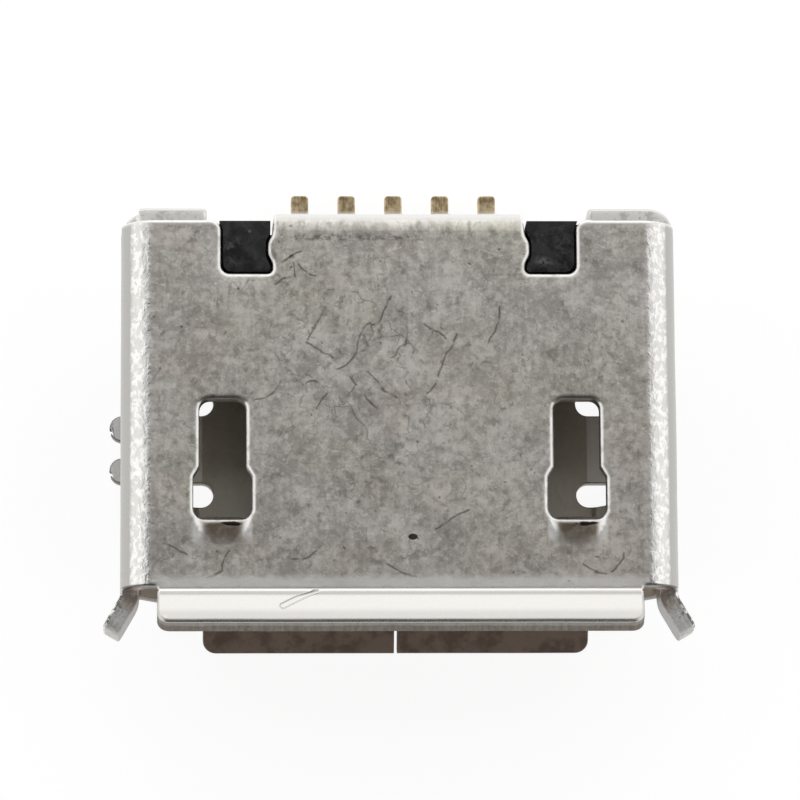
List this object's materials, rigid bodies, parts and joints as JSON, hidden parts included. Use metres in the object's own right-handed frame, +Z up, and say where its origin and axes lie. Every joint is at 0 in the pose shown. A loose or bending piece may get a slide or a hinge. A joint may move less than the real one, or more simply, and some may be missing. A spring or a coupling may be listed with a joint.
{
  "type": "micro usb socket",
  "caption": "Surface-mount micro USB Type-B socket: a folded plated shell with flared mouth and latch windows round a black moulded tongue with solder-tail contacts.",
  "frame": {"origin": "board side of the shell, on the middle of the dovetail that locks the seam", "axes": "+X across the mouth, +Y towards the solder tails, -Y out of the mouth, +Z up from the board"},
  "size_m": [0.008, 0.0064, 0.0029],
  "materials": {
    "plated_sheet": "mottled satin tin or nickel plate with hair scratches",
    "black_moulding": "matte moulded",
    "gilt_contact": "thin gilt plate, tarnished"
  },
  "bodies": {
    "root": {"shell": "plated_sheet", "housing": "black_moulding", "contact_1": "gilt_contact", "contact_2": "gilt_contact", "contact_3": "gilt_contact", "contact_4": "gilt_contact", "contact_5": "gilt_contact"}
  },
  "joints": []
}
